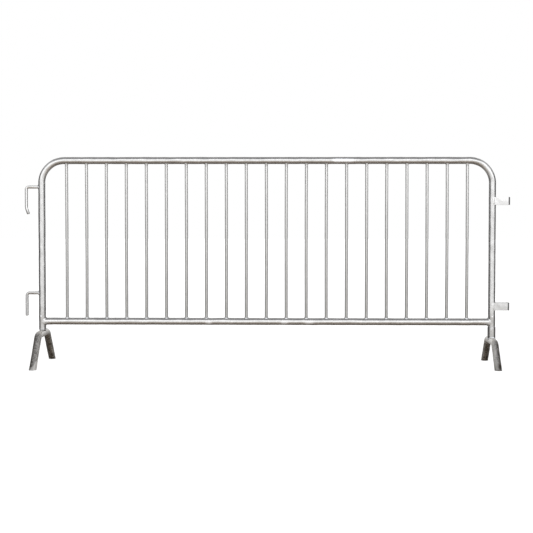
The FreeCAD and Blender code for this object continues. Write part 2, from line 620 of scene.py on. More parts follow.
@dataclass
class Centreline:
    """A line in one plane, made of straight runs and tangent arcs, sampled closely.

    Attributes:
        points: its points, shape (n, 3).
        tangents: unit directions along it, shape (n, 3).
        bend: 1 in the middle of an arc, falling to 0 on the straight runs, shape (n,).
        side: unit normal of the plane that it lies in.
    """

    points: Array
    tangents: Array
    bend: Array
    side: Array

    @classmethod
    def through(cls, corners: Sequence[Sequence[float]], radius: float, step: float,
                side: Array) -> "Centreline":
        """Straight runs between corners, with an arc of one radius tangent to both runs at each corner.

        On an arc a point is its centre plus radius times the sum of the start direction times cos a and
        the run's direction times sin a.

        Args:
            corners: the points where the runs, drawn on, would meet.
            radius: radius of the arcs.
            step: distance between samples on the runs; arcs are sampled three times as closely.
            side: unit normal of the corners' plane.

        Returns:
            The sampled line.
        """
        corners = np.asarray(corners, float)
        pieces, directions, bends = [], [], []
        start = corners[0]

        def run(end: Array, way: Array, last: bool) -> None:
            """Adds the straight run from where the line has got to.

            Args:
                end: where it ends.
                way: its direction.
                last: whether its end point belongs to it, as on the last run.
            """
            share = np.linspace(0, 1, samples(start, end, step), endpoint=last)[:, None]
            pieces.append(start + share * (end - start))
            directions.append(np.tile(way, (len(share), 1)))
            bends.append(np.zeros(len(share)))

        for before, corner, after in zip(corners, corners[1:], corners[2:]):
            into = (corner - before) / np.linalg.norm(corner - before)
            out = (after - corner) / np.linalg.norm(after - corner)
            turn = math.acos(float(np.clip(into @ out, -1, 1)))
            tangent_length = radius * math.tan(turn / 2)
            arc_start = corner - into * tangent_length
            inward = out - into * (into @ out)
            inward /= np.linalg.norm(inward)
            run(arc_start, into, False)
            count = max(8, int(3 * radius * turn / step))
            angle = np.linspace(0, turn, count, endpoint=False)[:, None]
            centre = arc_start + inward * radius
            pieces.append(centre + radius * (into * np.sin(angle) - inward * np.cos(angle)))
            directions.append(into * np.cos(angle) + inward * np.sin(angle))
            bends.append(np.sin(np.pi * angle[:, 0] / turn))
            start = corner + out * tangent_length
        rest = corners[-1] - start
        run(corners[-1], rest / np.linalg.norm(rest), True)
        return cls(np.concatenate(pieces), np.concatenate(directions), np.concatenate(bends), side)

    @classmethod
    def straight(cls, start: Sequence[float], end: Sequence[float], step: float) -> "Centreline":
        """One straight run in the barrier's own plane."""
        return cls.through((start, end), 0.0, step, Y_AXIS)

    def distance(self) -> Array:
        """Distance of each point from the start, measured along the line."""
        gaps = np.linalg.norm(np.diff(self.points, axis=0), axis=1)
        return np.concatenate([[0.0], np.cumsum(gaps)])


def samples(start: Array, end: Array, step: float) -> int:
    """Number of samples on a straight run."""
    return max(3, int(np.linalg.norm(np.asarray(end) - np.asarray(start)) / step) + 1)


@dataclass
class RoundStock:
    """Round tube or rod along a centreline.

    Attributes:
        line: its centreline.
        radius: outside radius.
        sides: points in a ring.
        seed: picks the unevenness of its zinc coat.
        unevenness: height of that unevenness.
        flattening: how much thinner the section gets across a bend, as a share; it widens half as much.
        start: the cut at the centreline's start.
        end: the cut at its end.
        trim: stretch of the piece, next to each end, over which an end's cut fades out.
    """

    line: Centreline
    radius: float
    sides: int = 40
    seed: int = 1
    unevenness: float = 0.22 * MM
    flattening: float = 0.0
    start: End = End()
    end: End = End()
    trim: float = 0.0

    def rings(self, radius: float, uneven: bool) -> Array:
        """Rings of points round the centreline.

        A ring's point is the centreline plus radius times (cos a x across + sin a x side), where across
        is the side crossed with the tangent. Both end cuts slide points along the tangent.

        Args:
            radius: radius of the rings.
            uneven: whether the zinc coat's unevenness is added.

        Returns:
            Array of shape (n, sides, 3).
        """
        angle = np.arange(self.sides)[None, :] * (2 * np.pi / self.sides)
        along = self.line.distance()[:, None]
        across = np.cross(self.line.side, self.line.tangents)[:, None, :]
        thin = 1 - self.flattening * self.line.bend[:, None]
        wide = 1 + 0.5 * self.flattening * self.line.bend[:, None]
        size = np.full((len(along), self.sides), radius)
        if uneven:
            size = size + slow_waves(self.seed, along, angle, self.unevenness, RIPPLE_SPAN)
        offsets = (size * thin * np.cos(angle))[..., None] * across
        offsets = offsets + (size * wide * np.sin(angle))[..., None] * self.line.side
        rings = self.line.points[:, None, :] + offsets
        if self.trim > 0:
            total = along[-1, 0]
            first = self.start.shift(offsets[0], self.line.tangents[0])
            last = self.end.shift(offsets[-1], -self.line.tangents[-1])
            slide = np.clip(1 - along / self.trim, 0, 1) * first
            slide = slide - np.clip(1 - (total - along) / self.trim, 0, 1) * last
            rings = rings + slide[..., None] * self.line.tangents[:, None, :]
        return rings

    def tube(self, wall: float) -> Surface:
        """A hollow tube: its outside, its end faces and its bore as one closed grid.

        Args:
            wall: thickness of the wall.

        Returns:
            The closed surface.
        """
        outside = self.rings(self.radius, True)
        bore = self.rings(self.radius - wall, False)[::-1]
        return joined_rings(np.concatenate([outside, bore]))

    def rod(self, rounding: float) -> Surface:
        """A solid rod whose far end is rounded by a quarter circle.

        Args:
            rounding: radius of that quarter circle.

        Returns:
            The closed surface.
        """
        body = self.rings(self.radius, True)
        centre, tangent = self.line.points[-1], self.line.tangents[-1]
        steps, clear = 7, 1.5 * rounding
        turn = np.linspace(0, np.pi / 2, steps)[:, None, None]
        shrink = 1 - (1 - np.cos(turn)) * rounding / self.radius
        tip = centre + (body[-1] - centre) * shrink + tangent * rounding * (np.sin(turn) - 1)
        travel = self.line.distance()
        body = body[travel < travel[-1] - clear]
        return capped_rings(np.concatenate([body, tip]))


@dataclass
class Seam:
    """The line where two pieces meet, for a weld to fill.

    Attributes:
        points: points along it, shape (n, 3).
        up_first: at each point, the direction along the first piece's surface, away from the seam.
        up_second: the same for the second piece.
        outward: at each point, the direction out of the corner between them.
        gap: at each point, the way from the seam to the first piece, where that piece stands clear.
        closed: whether the seam is a ring.
    """

    points: Array
    up_first: Array
    up_second: Array
    outward: Array
    gap: Array
    closed: bool = True

    @classmethod
    def branch(cls, root: Array, direction: Array, radius: float, host_radius: float, host_axis: Array,
               count: int, easing: float = 0.0, least: float = 0.0) -> "Seam":
        """The seam round a tube or rod that stands on the side of a round tube.

        With a turning round the branch, its surface is radius times (cos a x host axis + sin a x across)
        off its axis, and it meets the host where the height over the host's axis is the root of the
        host's radius squared less the square of the distance across.

        Args:
            root: the point where the two axes meet.
            direction: unit direction of the branch, away from the host.
            radius: radius of the branch.
            host_radius: radius of the host.
            host_axis: unit direction of the host.
            count: points round the seam.
            easing: rounds off the sharp turns that the seam has where both tubes are equally thick.
            least: the seam reaches no nearer than this to the host's axis, so that a branch wider than
                the host stands clear of it at its sides.

        Returns:
            The seam, with the branch as its first piece.
        """
        angle = np.arange(count)[:, None] * (2 * np.pi / count)
        across = np.cross(direction, host_axis)
        reach = radius * np.sin(angle)
        widest = math.sqrt(host_radius ** 2 - least ** 2)
        off = np.clip(reach, -widest, widest)
        height = np.sqrt(np.maximum(host_radius ** 2 - off ** 2, 0.0) + easing ** 2)
        points = root + radius * np.cos(angle) * host_axis + off * across + height * direction
        host_normal = (off * across + height * direction) / host_radius
        branch_normal = np.cos(angle) * host_axis + np.sin(angle) * across
        skin = (height * across - off * direction) / host_radius
        up_host = np.cos(angle) * host_axis + np.sin(angle) * skin
        up_host /= np.linalg.norm(up_host, axis=1, keepdims=True)
        outward = host_normal + branch_normal
        outward /= np.linalg.norm(outward, axis=1, keepdims=True)
        return cls(points, np.tile(direction, (count, 1)), up_host, outward, (reach - off) * across)

    def weld(self, leg: float, seed: int, bulge: float = 0.3, fresh_and_highlight: float = 0.6,
             pitch: float = 2.6 * MM) -> Surface:
        """A weld bead along the seam.

        Its section runs from a point one leg up the first piece to one leg along the second, bulging
        outwards by a half sine, and closes through a point buried under the seam. The leg swells and
        shrinks in small steps along the seam, as overlapping pools of metal do.

        Args:
            leg: width of the weld on each piece.
            seed: picks its unevenness.
            bulge: how far its face stands out, as a share of the leg.
            fresh_and_highlight: how bright its zinc is, 0 to 1.
            pitch: length of one pool.

        Returns:
            The closed surface of the bead.
        """
        loop = np.concatenate([self.points, self.points[:1]]) if self.closed else self.points
        gaps = np.linalg.norm(np.diff(loop, axis=0), axis=1)
        travel = np.concatenate([[0.0], np.cumsum(gaps)])[: len(self.points), None]
        pools = max(3, round(float(gaps.sum()) / pitch))
        rng = np.random.default_rng(seed)
        phase = 2 * np.pi * travel / float(gaps.sum())
        swell = 1 + 0.16 * np.abs(np.sin(phase * pools / 2))
        for waves, height in ((2, 0.10), (5, 0.07)):
            swell = swell + height * np.sin(phase * waves + rng.uniform(0, 6))
        if not self.closed:
            thinnest = 0.04
            swell = swell * np.sqrt(np.clip(np.sin(np.pi * travel / travel[-1]), thinnest, 1))
        size = (leg * swell)[:, :, None]
        steps, depth = 7, 0.35 * leg
        share = np.linspace(0, 1, steps)[None, :, None]
        first, second = self.up_first[:, None], self.up_second[:, None]
        out = self.outward[:, None]
        arch = (1 - share) * first + share * second + bulge * np.sin(np.pi * share) * out
        section = self.points[:, None] + size * arch + (1 - share) * self.gap[:, None]
        buried = (self.points - depth * self.outward)[:, None]
        rings = np.concatenate([section, buried], axis=1)
        bead = joined_rings(rings) if self.closed else capped_rings(rings)
        bead.fresh_and_highlight = np.full(len(bead.points), fresh_and_highlight)
        return bead


def place(surface: Surface, name: str, body: str, zinc: Zinc, stands_for: Sequence[str] = ()) -> None:
    """Makes the surface a piece of the barrier: its mesh, finish, body, slot and the nodes it stands for.

    Args:
        surface: the piece's surface.
        name: the piece's name.
        body: the moving body that it rides on.
        zinc: which galvanised finish it has.
        stands_for: frame nodes that it is shown in place of.
    """
    piece = bpy.data.objects.new(name, surface.mesh(name))
    bpy.context.scene.collection.objects.link(piece)
    piece.data.materials.append(FINISHES[zinc].material())
    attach(piece, body)
    if stands_for:
        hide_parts(*stands_for)
    log.info("%s: %d points, rides on %s", name, len(surface.points), body)


# ---------------------------------------------------------------- the barrier's own sizes


@dataclass
class Layout:
    """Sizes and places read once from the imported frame, for every sub-assembly to share.

    Attributes:
        tube_radius: radius of the posts and rails.
        left_x: the left post's axis.
        right_x: the right post's axis.
        top_z: the top rail's axis.
        rail_z: the bottom rail's axis.
        bar_names: the infill bars' nodes, from left to right.
        bar_x: their axes.
        bar_radius: their radius.
    """

    tube_radius: float
    left_x: float
    right_x: float
    top_z: float
    rail_z: float
    bar_names: list[str]
    bar_x: Array
    bar_radius: float

    @classmethod
    def read(cls) -> "Layout":
        """Reads the frame's boxes.

        Returns:
            The sizes and places.
        """
        low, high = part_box("frame_tube")
        radius = (high.y - low.y) / 2
        rail_low, rail_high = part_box("bottom_rail")
        bars = sorted(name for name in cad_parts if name.startswith("infill_bar_"))
        boxes = [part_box(name) for name in bars]
        return cls(
            tube_radius=radius,
            left_x=low.x + radius,
            right_x=high.x - radius,
            top_z=high.z - radius,
            rail_z=(rail_low.z + rail_high.z) / 2,
            bar_names=bars,
            bar_x=np.array([(lo.x + hi.x) / 2 for lo, hi in boxes]),
            bar_radius=(boxes[0][1].x - boxes[0][0].x) / 2,
        )


# ---------------------------------------------------------------- sub-assemblies


@dataclass
class Frame:
    """The bent outer tube and the bottom rail, with the two welds that join them.

    Attributes:
        layout: shared sizes.
        wall: wall thickness of both tubes.
        corner_radius: centreline radius of the top bends.
        step: distance between rings.
        patches: patches of thick zinc on the top rail, each by its place along it and its half length.
        rail_patches: the same on the bottom rail.
        patch_half: half the height of a patch on the top rail and on the bottom rail.
        rail_patch_drop: how far the bottom rail's patches lie below its axis.
        bead: width of the weld at each end of the bottom rail.
        lip_size: size of the zinc roll on the left and the right post's end.
        spot_radius: radius of a weld spot.
    """

    layout: Layout
    wall: float = 2.0 * MM
    corner_radius: float = 120.0 * MM
    step: float = 9.0 * MM
    patches: tuple[Pair, ...] = ((0.385, 0.04), (0.43, 0.04))
    rail_patches: tuple[Pair, ...] = ((-0.31, 0.022), (0.095, 0.026), (0.225, 0.03))
    patch_half: Pair = (14 * MM, 9 * MM)
    rail_patch_drop: float = 6 * MM
    bead: float = 3.6 * MM
    lip_size: Pair = (1.7 * MM, 1.3 * MM)
    spot_radius: float = 5 * MM

    def post_ends(self) -> Pair:
        """The heights at which the posts end, from the feet that stand under them.

        Returns:
            The left and the right post's lower end.
        """
        low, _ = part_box("frame_tube")
        left_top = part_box("left_foot")[1].z
        right_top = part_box("right_foot_collar")[1].z
        return low.z, low.z + right_top - left_top

    def bent_tube(self) -> None:
        """The posts and top rail in one bent tube, slightly flattened in its bends."""
        lay = self.layout
        left_end, right_end = self.post_ends()
        corners = [
            (lay.left_x, 0, left_end), (lay.left_x, 0, lay.top_z),
            (lay.right_x, 0, lay.top_z), (lay.right_x, 0, right_end),
        ]
        line = Centreline.through(corners, self.corner_radius, self.step, Y_AXIS)
        stock = RoundStock(line, lay.tube_radius, sides=48, seed=11, flattening=0.025)
        tube = stock.tube(self.wall)
        joints = np.array([[x, 0, lay.rail_z] for x in (lay.left_x, lay.right_x)])
        ends = np.array([[lay.left_x, 0, left_end], [lay.right_x, 0, right_end]])
        tube.fresh_and_highlight = self._thick_zinc(tube.points, lay.top_z, self.patch_half[0], self.patches)
        # Bright zinc near each post's lower end, which also serves as a painted highlight on the end's
        # rim.
        tube.fresh_and_highlight = np.maximum(tube.fresh_and_highlight, 0.55 * near(tube.points, ends, 12 * MM))
        # Darker round the bottom rail's joints, and painted shade on each post's outer half.
        outside = np.maximum(lay.left_x - tube.points[:, 0], tube.points[:, 0] - lay.right_x)
        shaded_outer_half = np.clip(2 * outside / lay.tube_radius - 1, 0, 1)
        tube.dirt_and_shade = 0.5 * near(tube.points, joints, 50 * MM) + 0.5 * shaded_outer_half
        place(tube, "bent_frame_tube", "frame", Zinc.FRAME, ["frame_tube"])

    def rail(self) -> None:
        """The bottom rail, coped at both ends to sit on the posts."""
        lay = self.layout
        line = Centreline.straight((lay.left_x, 0, lay.rail_z), (lay.right_x, 0, lay.rail_z), self.step)
        coped = End(Cut.COPED, lay.tube_radius, tuple(Z_AXIS))
        stock = RoundStock(
            line, lay.tube_radius, sides=48, seed=12, start=coped, end=coped, trim=4 * lay.tube_radius
        )
        tube = stock.tube(self.wall)
        height = lay.rail_z - self.rail_patch_drop
        tube.fresh_and_highlight = self._thick_zinc(tube.points, height, self.patch_half[1], self.rail_patches)
        place(tube, "bottom_rail_tube", "frame", Zinc.FRAME, ["bottom_rail"])

    def _thick_zinc(self, points: Array, height: float, half: float, patches: Sequence[Pair]) -> Array:
        """Bright patches on the front of a rail, where thick zinc froze.

        A patch is a soft ellipse: e to the minus the sum of the squares of the distance along over its
        half length and of the distance up over its half height.

        Args:
            points: the rail's points.
            height: height of the patches' middles.
            half: half the patches' height.
            patches: each patch's place along the barrier and its half length.

        Returns:
            A value from 0 to 1 for each point.
        """
        value = np.zeros(len(points))
        front = points[:, 1] < 10 * MM
        for x, half_length in patches:
            off = ((points[:, 0] - x) / half_length) ** 2 + ((points[:, 2] - height) / half) ** 2
            value = np.maximum(value, np.exp(-off) * front)
        return value

    def welds(self) -> None:
        """The bead round each end of the bottom rail."""
        lay = self.layout
        for name, x, way, seed in (("left", lay.left_x, 1.0, 21), ("right", lay.right_x, -1.0, 22)):
            seam = Seam.branch(
                np.array([x, 0, lay.rail_z]), way * X_AXIS, lay.tube_radius, lay.tube_radius, Z_AXIS, 144,
                easing=7 * MM,
            )
            bead = seam.weld(self.bead, seed, bulge=0.12, fresh_and_highlight=0.0)
            place(bead, f"rail_weld_{name}", "frame", Zinc.FRAME)

    def end_lips(self) -> None:
        """A thin roll of zinc round each post's lower end.

        A point is at the ring's radius plus the roll's radius times cos b from the post's axis, but
        never inside its bore, and at the roll's radius times sin b above the roll's middle.
        """
        lay = self.layout
        count, sides, sunk = 72, 12, 0.4 * MM
        turn = np.arange(count)[:, None] * (2 * np.pi / count)
        around = np.arange(sides)[None, :] * (2 * np.pi / sides)
        for name, x, z, size in zip(
            ("left", "right"), (lay.left_x, lay.right_x), self.post_ends(), self.lip_size
        ):
            roll = size * (1 + 0.15 * np.sin(3 * turn) + 0.1 * np.sin(7 * turn))
            away = lay.tube_radius - sunk + roll * np.cos(around)
            away = np.maximum(away, lay.tube_radius - self.wall)
            height = z + 1.3 * size + roll * np.sin(around)
            rings = np.stack([x + away * np.cos(turn), away * np.sin(turn), height], -1)
            lip = joined_rings(rings)
            lip.fresh_and_highlight = np.full(len(lip.points), 0.6)
            place(lip, f"post_lip_{name}", "frame", Zinc.FRAME)

    def spots(self) -> None:
        """A small dome of weld on the front of each post, just above the bottom rail.

        On a disc of radius r, its height over the post is the dome's height times the root of one less
        the square of the distance from the middle over r.
        """
        lay = self.layout
        dome, sunk = 1.3 * MM, 0.3 * MM
        share = np.linspace(1, 0.05, 9)[:, None]
        angle = np.arange(24)[None, :] * (2 * np.pi / 24)
        for name, post, x, z in (
            ("left", lay.left_x, lay.left_x - 6 * MM, lay.rail_z + 27 * MM),
            ("right", lay.right_x, lay.right_x + 2 * MM, lay.rail_z + 29 * MM),
        ):
            px = x + self.spot_radius * share * np.cos(angle)
            pz = z + self.spot_radius * share * np.sin(angle)
            bump = dome * np.sqrt(1 - share ** 2) - sunk
            py = -np.sqrt(lay.tube_radius ** 2 - (px - post) ** 2) - bump
            spot = capped_rings(np.stack([px, py, pz], -1))
            spot.fresh_and_highlight = np.ones(len(spot.points))
            place(spot, f"weld_spot_{name}", "frame", Zinc.FRAME)

    def build(self) -> None:
        """Makes the frame's pieces."""
        self.bent_tube()
        self.rail()
        self.welds()
        self.end_lips()
        self.spots()


@dataclass
class Infill:
    """The vertical bars between the rails and the beads that hold them.

    Attributes:
        layout: shared sizes.
        wall: the bars' wall thickness.
        bow: the most that a bar strays from straight at mid height.
        step: distance between rings.
    """

    layout: Layout
    wall: float = 1.2 * MM
    bow: float = 1.0 * MM
    step: float = 12.0 * MM

    def bar(self, number: int) -> None:
        """One bar, coped to both rails and very slightly bowed, as a half sine.

        Args:
            number: counts the bars from the left, from 0.
        """
        lay = self.layout
        x = lay.bar_x[number]
        line = Centreline.straight((x, 0, lay.rail_z), (x, 0, lay.top_z), self.step)
        share = line.distance() / line.distance()[-1]
        lean = np.random.default_rng(100 + number).uniform(-self.bow, self.bow)
        line.points[:, 0] += lean * np.sin(np.pi * share)
        coped = End(Cut.COPED, lay.tube_radius, tuple(X_AXIS))
        stock = RoundStock(
            line, lay.bar_radius, sides=24, seed=200 + number, unevenness=0.06 * MM,
            start=coped, end=coped, trim=4 * lay.tube_radius,
        )
        tube = stock.tube(self.wall)
        inset = lay.tube_radius + 4 * MM
        foot, shaded_head = (x, 0, lay.rail_z + inset), (x, 0, lay.top_z - inset)
        tube.fresh_and_highlight = 0.6 * near(tube.points, foot, 12 * MM)
        # Darker towards the bottom, and painted shade in a collar at the top, under the top rail.
        low_down = (lay.top_z - tube.points[:, 2]) / (lay.top_z - lay.rail_z)
        tube.dirt_and_shade = np.maximum(0.6 * near(tube.points, shaded_head, 10 * MM), 0.62 * low_down)
        place(tube, f"bar_{number + 1:02d}", "frame", Zinc.INFILL, [lay.bar_names[number]])

    def welds(self) -> None:
        """The beads round the bars' ends: one piece along each rail."""
        lay = self.layout
        for name, z, way, leg in (
            ("bar_welds_bottom", lay.rail_z, 1.0, 3.4 * MM), ("bar_welds_top", lay.top_z, -1.0, 2.2 * MM)
        ):
            beads = []
            for number, x in enumerate(lay.bar_x):
                seam = Seam.branch(
                    np.array([x, 0, z]), way * Z_AXIS, lay.bar_radius, lay.tube_radius, X_AXIS, 48
                )
                seed = 300 + number + int(1000 * z)
                beads.append(seam.weld(leg, seed))
            place(Surface.together(beads), name, "frame", Zinc.FRAME)

    def build(self) -> None:
        """Makes every bar and the beads."""
        for number in range(len(self.layout.bar_x)):
            self.bar(number)
        self.welds()


@dataclass
class Hook:
    """A rod hook on the left post.

    Attributes:
        layout: shared sizes.
        node: the frame's node that it stands for.
        bend_radius: centreline radius of its elbow.
        lean_length: length of an inturned tip, or 0 for a straight prong.
        lean: how far that tip turns in.
        lean_radius: centreline radius of that turn.
        rounding: rounding of the tip.
        weathering: how dirty it is all over, 0 to 1.
    """

    layout: Layout
    node: str
    bend_radius: float = 12 * MM
    lean_length: float = 0.0
    lean: float = 0.0
    lean_radius: float = 30 * MM
    rounding: float = 3 * MM
    weathering: float = 0.0

    def build(self) -> None:
        """The bent rod and the bead at its root."""
        lay = self.layout
        low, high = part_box(self.node)
        radius = (high.y - low.y) / 2
        root = np.array([lay.left_x, 0, high.z - radius])
        prong_x = low.x + radius
        tip_z = low.z
        elbow = [tuple(root), (prong_x, 0, root[2])]
        if self.lean_length > 0:
            slope = math.atan2(self.lean, self.lean_length)
            tip_z = low.z + radius * math.sin(slope)
            line = self._leaning(elbow, prong_x, tip_z)
        else:
            line = Centreline.through(elbow + [(prong_x, 0, tip_z)], self.bend_radius, 3 * MM, Y_AXIS)
        coped = End(Cut.COPED, lay.tube_radius, tuple(Z_AXIS))
        stock = RoundStock(
            line, radius, sides=32, seed=len(self.node), unevenness=0.1 * MM, flattening=0.02,
            start=coped, trim=2 * lay.tube_radius,
        )
        rod = stock.rod(self.rounding)
        rod.fresh_and_highlight = 0.5 * near(rod.points, elbow[1], 20 * MM)
        tip = (prong_x + 0.8 * self.lean, 0, low.z + 0.25 * self.lean_length)
        tip_wear = 0.8 * near(rod.points, tip, 14 * MM) * (self.lean > 0)
        rod.dirt_and_shade = np.maximum(self.weathering, tip_wear)
        place(rod, self.node + "_rod", "frame", Zinc.FITTING, [self.node])
        seam = Seam.branch(root, -X_AXIS, radius, lay.tube_radius, Z_AXIS, 64)
        place(seam.weld(4 * MM, 31), self.node + "_weld", "frame", Zinc.FRAME)

    def _leaning(self, elbow: list, prong_x: float, tip_z: float) -> Centreline:
        """The centreline of a hook with an inturned tip: its elbow, then a second, wider bend.

        Args:
            elbow: the arm's root and the elbow's corner.
            prong_x: the prong's axis.
            tip_z: height of the tip's middle.

        Returns:
            The two stretches' samples joined into one line.
        """
        knee_z = tip_z + self.lean_length
        halfway = (prong_x, 0, (elbow[1][2] + knee_z) / 2)
        upper = Centreline.through(elbow + [halfway], self.bend_radius, 3 * MM, Y_AXIS)
        turned = [halfway, (prong_x, 0, knee_z), (prong_x + self.lean, 0, tip_z)]
        lower = Centreline.through(turned, self.lean_radius, 3 * MM, Y_AXIS)
        return Centreline(
            np.concatenate([upper.points[:-1], lower.points]),
            np.concatenate([upper.tangents[:-1], lower.tangents]),
            np.concatenate([upper.bend[:-1], lower.bend]),
            Y_AXIS,
        )


@dataclass
class Loop:
    """A flat strap bent into a U on the right post.

    Attributes:
        layout: shared sizes.
        node: the frame's node that it stands for.
        thickness: the strap's thickness.
        edge: rounding of the strap's long edges.
        leg_rings: rings along each straight leg.
        bend_rings: rings round the bend.
        dark_nose_length: length of the darker end of the loop.
        weathering: how dirty it is all over, 0 to 1.
    """

    layout: Layout
    node: str
    thickness: float = 5 * MM
    edge: float = 1.2 * MM
    leg_rings: int = 24
    bend_rings: int = 31
    dark_nose_length: float = 11 * MM
    weathering: float = 0.0

    def strap(self) -> Surface:
        """The strap: a rounded rectangle carried along a U.

        The section is the rounded rectangle of half sizes thickness / 2 and height / 2. The U's straight
        legs start on the post's surface, which their inner and outer faces meet at different depths, so
        each point of an end ring slides to the post's circle in plan, and the slide fades along the leg.

        Returns:
            The closed surface.
        """
        lay = self.layout
        low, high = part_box(self.node)
        half_width = (high.y - low.y) / 2 - self.thickness / 2
        nose_centre = high.x - self.thickness / 2 - half_width
        height = high.z - low.z
        middle_z = (low.z + high.z) / 2
        leg = np.linspace(lay.right_x, nose_centre, self.leg_rings)
        turn = np.linspace(-np.pi / 2, np.pi / 2, self.bend_rings + 2)[1:-1]
        ones = np.ones(self.leg_rings)
        x = np.concatenate([leg, nose_centre + half_width * np.cos(turn), leg[::-1]])
        out_x = np.concatenate([0 * ones, np.cos(turn), 0 * ones])
        out_y = np.concatenate([-ones, np.sin(turn), ones])
        y = half_width * out_y
        sides, unevenness, waves, ring_gap = 40, 0.12 * MM, (0.03, 0.12), 4 * MM
        angle = np.arange(sides) * (2 * np.pi / sides)
        thick, tall = self._rounded(angle, self.thickness / 2, height / 2)
        along = np.arange(len(x))[:, None] * ring_gap
        wave = slow_waves(len(self.node), along, angle[None, :], unevenness, waves)
        depth = thick[None, :] + wave * np.cos(angle)[None, :]
        px = x[:, None] + out_x[:, None] * depth
        py = y[:, None] + out_y[:, None] * depth
        surface_x = lay.right_x + np.sqrt(np.maximum(lay.tube_radius ** 2 - py ** 2, 0.0))
        rise = np.arange(self.leg_rings) / (self.leg_rings - 1)
        on_leg = np.concatenate([1 - rise, np.zeros(self.bend_rings), rise])[:, None]
        px = px + on_leg * (surface_x - lay.right_x)
        pz = middle_z + np.broadcast_to(tall, px.shape)
        return capped_rings(np.stack([px, py, pz], -1))

    def _rounded(self, angle: Array, half_thick: float, half_tall: float) -> tuple[Array, Array]:
        """A rectangle with rounded corners, as the point at each angle.

        Points are spread evenly over the angle on a rectangle that is smaller by the edge's rounding
        all round, and the rounding is added along the angle itself.

        Args:
            angle: angles round the section.
            half_thick: half the strap's thickness.
            half_tall: half the strap's height.

        Returns:
            Offsets through the thickness and up the strap.
        """
        core_thick, core_tall = half_thick - self.edge, half_tall - self.edge
        cos, sin = np.cos(angle), np.sin(angle)
        scale = 1 / np.maximum(np.abs(cos), np.abs(sin))
        thick = core_thick * np.clip(cos * scale, -1, 1)
        tall = core_tall * np.clip(sin * scale, -1, 1)
        return thick + self.edge * cos, tall + self.edge * sin

    def welds(self) -> Surface:
        """An upright bead where each leg of the strap meets the post.

        Returns:
            Both beads as one surface.
        """
        lay = self.layout
        low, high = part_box(self.node)
        count = 40
        z = np.linspace(low.z + 1 * MM, high.z - 1 * MM, count)
        beads = []
        for way, seed in ((-1.0, 41), (1.0, 42)):
            y = way * (high.y - low.y) / 2
            x = lay.right_x + math.sqrt(lay.tube_radius ** 2 - y ** 2)
            points = np.stack([np.full(count, x), np.full(count, y), z], 1)
            normal = np.array([x - lay.right_x, y, 0]) / lay.tube_radius
            round_post = way * np.cross(Z_AXIS, normal)
            outward = normal + way * Y_AXIS
            outward /= np.linalg.norm(outward)
            rows = (np.tile(v, (count, 1)) for v in (X_AXIS, round_post, outward, 0 * outward))
            beads.append(Seam(points, *rows, closed=False).weld(4 * MM, seed, bulge=0.35, fresh_and_highlight=0.25))
        return Surface.together(beads)

    def build(self) -> None:
        """Makes the strap and its beads."""
        strap = self.strap()
        # Dirt all over, and darker over the loop's end.
        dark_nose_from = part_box(self.node)[1].x - self.dark_nose_length
        dark_nose_share = np.clip((strap.points[:, 0] - dark_nose_from) / (4 * MM), 0, 1)
        strap.dirt_and_shade = np.maximum(self.weathering, 0.5 * dark_nose_share)
        place(strap, self.node + "_strap", "frame", Zinc.FITTING, [self.node])
        place(self.welds(), self.node + "_weld", "frame", Zinc.FITTING)


